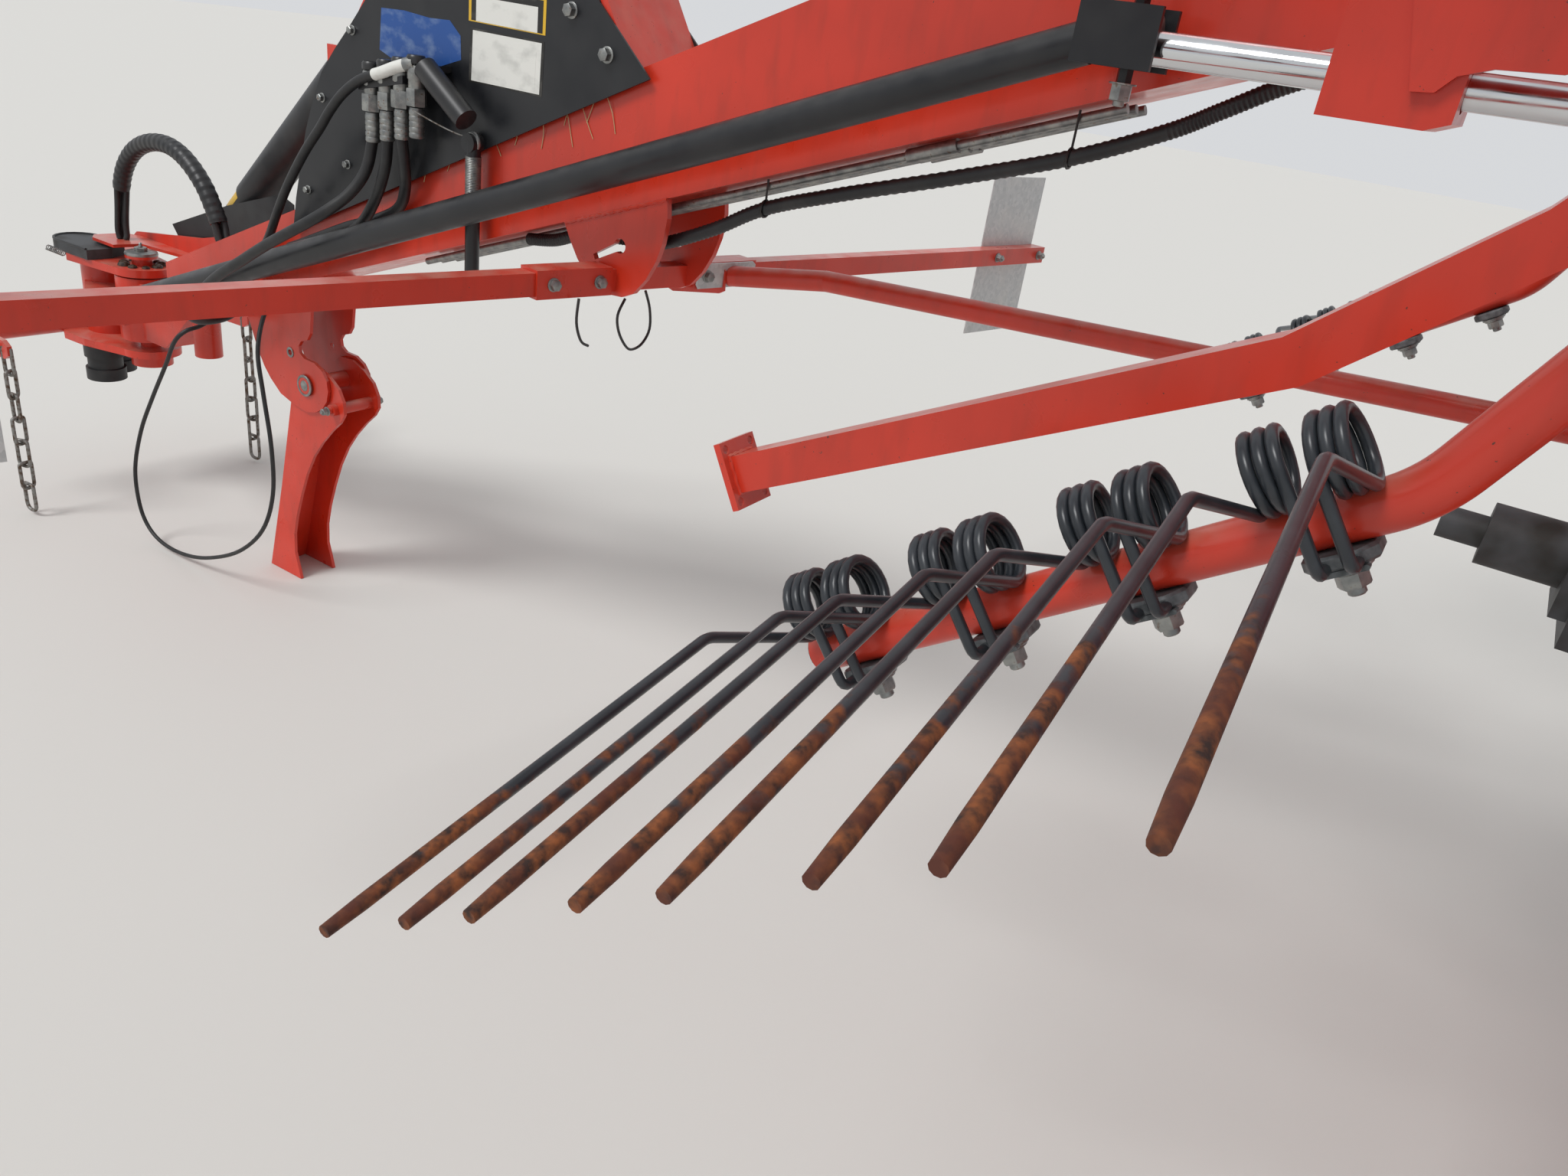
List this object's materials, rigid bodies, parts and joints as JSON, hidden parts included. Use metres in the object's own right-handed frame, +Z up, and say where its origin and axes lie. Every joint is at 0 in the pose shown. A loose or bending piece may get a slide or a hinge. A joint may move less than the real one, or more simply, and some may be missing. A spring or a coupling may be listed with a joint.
{
  "type": "twin rotor hay rake",
  "caption": "Towed twin rotor hay rake parked with both tined rotors folded up beside an arched beam, on its stand and two steered rear wheels.",
  "frame": {"origin": "on the ground under the middle of the machine's box, in its middle plane", "axes": "+X forward to the hitch, +Y to the machine's left, +Z up"},
  "size_m": [6.3979, 2.9716, 3.7052],
  "materials": {
    "black_paint": "satin",
    "black_plastic": "matte",
    "cast_grey": "matte",
    "chrome_rod": "polished",
    "dark_steel": "rough",
    "red_paint": "gloss",
    "rubber": "matte",
    "spring_steel": "satin",
    "tyre_rubber": "matte",
    "zinc": "satin"
  },
  "bodies": {
    "frame": {"main_beam": "red_paint", "column": "red_paint", "crossbeam": "red_paint", "rear_axle": "red_paint", "central_gearbox": "cast_grey", "front_bar": "red_paint", "sign_plates": "zinc", "guard_rail": "red_paint", "panel_frame": "red_paint", "side_panels": "black_paint", "hydraulic_pipes": "zinc", "hose_holder": "black_plastic", "drive_shaft": "black_plastic", "hang_strut": "dark_steel", "front_shield": "black_paint", "stand_ears": "red_paint", "rod_guide": "red_paint", "front_hose_a": "rubber", "front_hose_b": "rubber", "front_hose_c": "rubber", "hose_arch": "rubber", "cable_loop": "rubber"},
    "hitch": {"hitch_head": "red_paint", "hitch_cover": "dark_steel", "hitch_bellows": "rubber", "hitch_chains": "dark_steel"},
    "stand": {"stand_leg": "red_paint"},
    "steering_rod_body": {"steering_rod": "black_paint"},
    "steering_plate_body": {"steering_plate": "red_paint"},
    "tie_rod_body": {"tie_rod": "black_paint"},
    "knuckle_left_body": {"knuckle_left": "red_paint"},
    "road_wheel_left": {"tyre_left": "tyre_rubber", "rim_left": "zinc"},
    "knuckle_right_body": {"knuckle_right": "red_paint"},
    "road_wheel_right": {"tyre_right": "tyre_rubber", "rim_right": "zinc"},
    "arm_left": {"carrier_left": "red_paint", "gearbox_left": "cast_grey", "bogie_left": "red_paint"},
    "rotor_left_body": {"rotor_left": "red_paint", "tines_left": "spring_steel"},
    "small_wheel_l1_body": {"small_wheel_l1": "tyre_rubber"},
    "small_wheel_l2_body": {"small_wheel_l2": "tyre_rubber"},
    "small_wheel_l3_body": {"small_wheel_l3": "tyre_rubber"},
    "small_wheel_l4_body": {"small_wheel_l4": "tyre_rubber"},
    "barrel_left_body": {"barrel_left": "black_paint"},
    "piston_left_body": {"piston_left": "chrome_rod"},
    "arm_right": {"carrier_right": "red_paint", "gearbox_right": "cast_grey", "bogie_right": "red_paint"},
    "rotor_right_body": {"rotor_right": "red_paint", "tines_right": "spring_steel"},
    "small_wheel_r1_body": {"small_wheel_r1": "tyre_rubber"},
    "small_wheel_r2_body": {"small_wheel_r2": "tyre_rubber"},
    "small_wheel_r3_body": {"small_wheel_r3": "tyre_rubber"},
    "small_wheel_r4_body": {"small_wheel_r4": "tyre_rubber"},
    "barrel_right_body": {"barrel_right": "black_paint"},
    "piston_right_body": {"piston_right": "chrome_rod"}
  },
  "joints": [
    {"name": "hitch_yaw", "type": "hinge", "parent": "frame", "child": "hitch", "pos_m": [2.87, 0, 0.55], "axis": [0, 0, 1], "range_deg": [-25, 25]},
    {"name": "stand_fold", "type": "hinge", "parent": "frame", "child": "stand", "pos_m": [2.1, 0, 0.55], "axis": [0, 1, 0], "range_deg": [0, 95]},
    {"name": "steering_rod_slide", "type": "slide", "parent": "frame", "child": "steering_rod_body", "axis": [1, 0, 0], "range_m": [-0.078, 0.078]},
    {"name": "steering_plate_turn", "type": "hinge", "parent": "frame", "child": "steering_plate_body", "pos_m": [-2.51, 0, 0.5], "axis": [0, 0, 1], "range_deg": [-26, 26]},
    {"name": "tie_rod_slide", "type": "slide", "parent": "frame", "child": "tie_rod_body", "axis": [0, 1, 0], "range_m": [-0.056, 0.056]},
    {"name": "steer_left", "type": "hinge", "parent": "frame", "child": "knuckle_left_body", "pos_m": [-2.83, 0.98, 0.43], "axis": [0, 0, 1], "range_deg": [-16, 16]},
    {"name": "road_wheel_left_spin", "type": "hinge", "parent": "knuckle_left_body", "child": "road_wheel_left", "pos_m": [-2.83, 1.215, 0.37], "axis": [0, 1, 0], "continuous": true},
    {"name": "steer_right", "type": "hinge", "parent": "frame", "child": "knuckle_right_body", "pos_m": [-2.83, -0.98, 0.43], "axis": [0, 0, 1], "range_deg": [-16, 16]},
    {"name": "road_wheel_right_spin", "type": "hinge", "parent": "knuckle_right_body", "child": "road_wheel_right", "pos_m": [-2.83, -1.215, 0.37], "axis": [0, 1, 0], "continuous": true},
    {"name": "fold_left", "type": "hinge", "parent": "frame", "child": "arm_left", "pos_m": [-0.745, 0.664, 0.734], "axis": [1, 0, 0], "range_deg": [-88, 0]},
    {"name": "rotor_left_spin", "type": "hinge", "parent": "arm_left", "child": "rotor_left_body", "pos_m": [-0.745, 0.78572, 2.15662], "axis": [0, -0.9994, 0.0349], "continuous": true},
    {"name": "small_wheel_l1_spin", "type": "hinge", "parent": "arm_left", "child": "small_wheel_l1_body", "pos_m": [-0.265, 1.25617, 2.39034], "axis": [0, 0.0349, 0.9994], "continuous": true},
    {"name": "small_wheel_l2_spin", "type": "hinge", "parent": "arm_left", "child": "small_wheel_l2_body", "pos_m": [-1.225, 1.25617, 2.39034], "axis": [0, 0.0349, 0.9994], "continuous": true},
    {"name": "small_wheel_l3_spin", "type": "hinge", "parent": "arm_left", "child": "small_wheel_l3_body", "pos_m": [-1.225, 1.23872, 1.89065], "axis": [0, 0.0349, 0.9994], "continuous": true},
    {"name": "small_wheel_l4_spin", "type": "hinge", "parent": "arm_left", "child": "small_wheel_l4_body", "pos_m": [-0.265, 1.23872, 1.89065], "axis": [0, 0.0349, 0.9994], "continuous": true},
    {"name": "barrel_left_turn", "type": "hinge", "parent": "frame", "child": "barrel_left_body", "pos_m": [-0.6, 0.125, 1.42], "axis": [1, 0, 0], "range_deg": [0, 11.48]},
    {"name": "piston_left_slide", "type": "slide", "parent": "barrel_left_body", "child": "piston_left_body", "axis": [0, 0.7047, -0.7095], "range_m": [0, 0.4003]},
    {"name": "fold_right", "type": "hinge", "parent": "frame", "child": "arm_right", "pos_m": [-0.745, -0.664, 0.734], "axis": [1, 0, 0], "range_deg": [0, 88]},
    {"name": "rotor_right_spin", "type": "hinge", "parent": "arm_right", "child": "rotor_right_body", "pos_m": [-0.745, -0.78572, 2.15662], "axis": [0, 0.9994, 0.0349], "continuous": true},
    {"name": "small_wheel_r1_spin", "type": "hinge", "parent": "arm_right", "child": "small_wheel_r1_body", "pos_m": [-0.265, -1.25617, 2.39034], "axis": [0, -0.0349, 0.9994], "continuous": true},
    {"name": "small_wheel_r2_spin", "type": "hinge", "parent": "arm_right", "child": "small_wheel_r2_body", "pos_m": [-1.225, -1.25617, 2.39034], "axis": [0, -0.0349, 0.9994], "continuous": true},
    {"name": "small_wheel_r3_spin", "type": "hinge", "parent": "arm_right", "child": "small_wheel_r3_body", "pos_m": [-1.225, -1.23872, 1.89065], "axis": [0, -0.0349, 0.9994], "continuous": true},
    {"name": "small_wheel_r4_spin", "type": "hinge", "parent": "arm_right", "child": "small_wheel_r4_body", "pos_m": [-0.265, -1.23872, 1.89065], "axis": [0, -0.0349, 0.9994], "continuous": true},
    {"name": "barrel_right_turn", "type": "hinge", "parent": "frame", "child": "barrel_right_body", "pos_m": [-0.6, -0.125, 1.42], "axis": [1, 0, 0], "range_deg": [-11.48, 0]},
    {"name": "piston_right_slide", "type": "slide", "parent": "barrel_right_body", "child": "piston_right_body", "axis": [0, -0.7047, -0.7095], "range_m": [0, 0.4003]}
  ],
  "couplings": [
    {"joint": "steering_rod_slide", "follows": "hitch_yaw", "m_per_rad": -0.17},
    {"joint": "steering_plate_turn", "follows": "hitch_yaw", "ratio": 1},
    {"joint": "tie_rod_slide", "follows": "hitch_yaw", "m_per_rad": -0.12},
    {"joint": "steer_left", "follows": "hitch_yaw", "ratio": -0.6},
    {"joint": "steer_right", "follows": "hitch_yaw", "ratio": -0.6},
    {"joint": "barrel_left_turn", "follows": "fold_left", "ratio": -0.12702},
    {"joint": "piston_left_slide", "follows": "fold_left", "m_per_rad": -0.25805},
    {"joint": "barrel_right_turn", "follows": "fold_right", "ratio": -0.12702},
    {"joint": "piston_right_slide", "follows": "fold_right", "m_per_rad": 0.25805}
  ]
}
